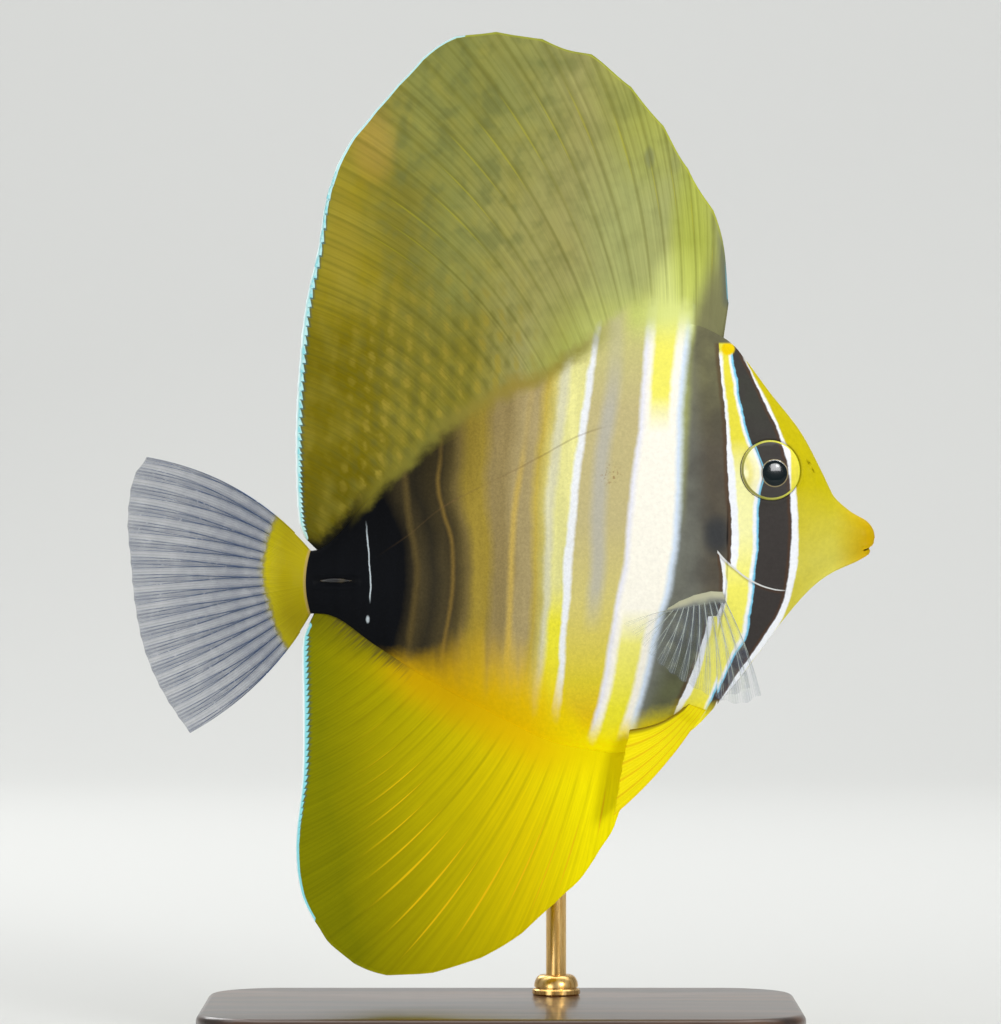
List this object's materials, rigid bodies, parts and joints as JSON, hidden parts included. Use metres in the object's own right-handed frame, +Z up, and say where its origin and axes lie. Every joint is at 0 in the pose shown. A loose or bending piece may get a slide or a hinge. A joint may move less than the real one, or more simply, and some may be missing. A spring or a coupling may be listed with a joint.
{
  "type": "sailfin tang",
  "caption": "Life-size model of a young sailfin tang with raised sail-like fins and upright stripes, held on a wooden base by a bent brass rod.",
  "frame": {"origin": "middle of the stand's underside, on the floor, below the middle of the fish's length", "axes": "+X the way the fish faces, +Y its left, +Z up through its back"},
  "size_m": [0.08, 0.04, 0.1091],
  "materials": {
    "head_skin": "satin, yellow snout, dark and white bars",
    "eyes": "polished",
    "torso_skin": "satin, upright stripes",
    "stalk_skin": "satin black",
    "dorsal_membrane": "satin, olive yellow",
    "anal_membrane": "satin, yellow",
    "clear_membrane": "satin, half clear",
    "pelvic_membrane": "satin, bright yellow",
    "base_wood": "oiled, dark",
    "rod_brass": "brushed"
  },
  "bodies": {
    "root": {"head": "head_skin", "eye_right": "eyes", "eye_left": "eyes", "torso": "torso_skin", "tail_stalk": "stalk_skin", "dorsal_fin": "dorsal_membrane", "anal_fin": "anal_membrane", "tail_fin": "clear_membrane", "pectoral_fin_right": "clear_membrane", "pectoral_fin_left": "clear_membrane", "pelvic_fin_right": "pelvic_membrane", "pelvic_fin_left": "pelvic_membrane", "stand_base": "base_wood", "stand_rod": "rod_brass", "stand_collar": "rod_brass"}
  },
  "joints": []
}
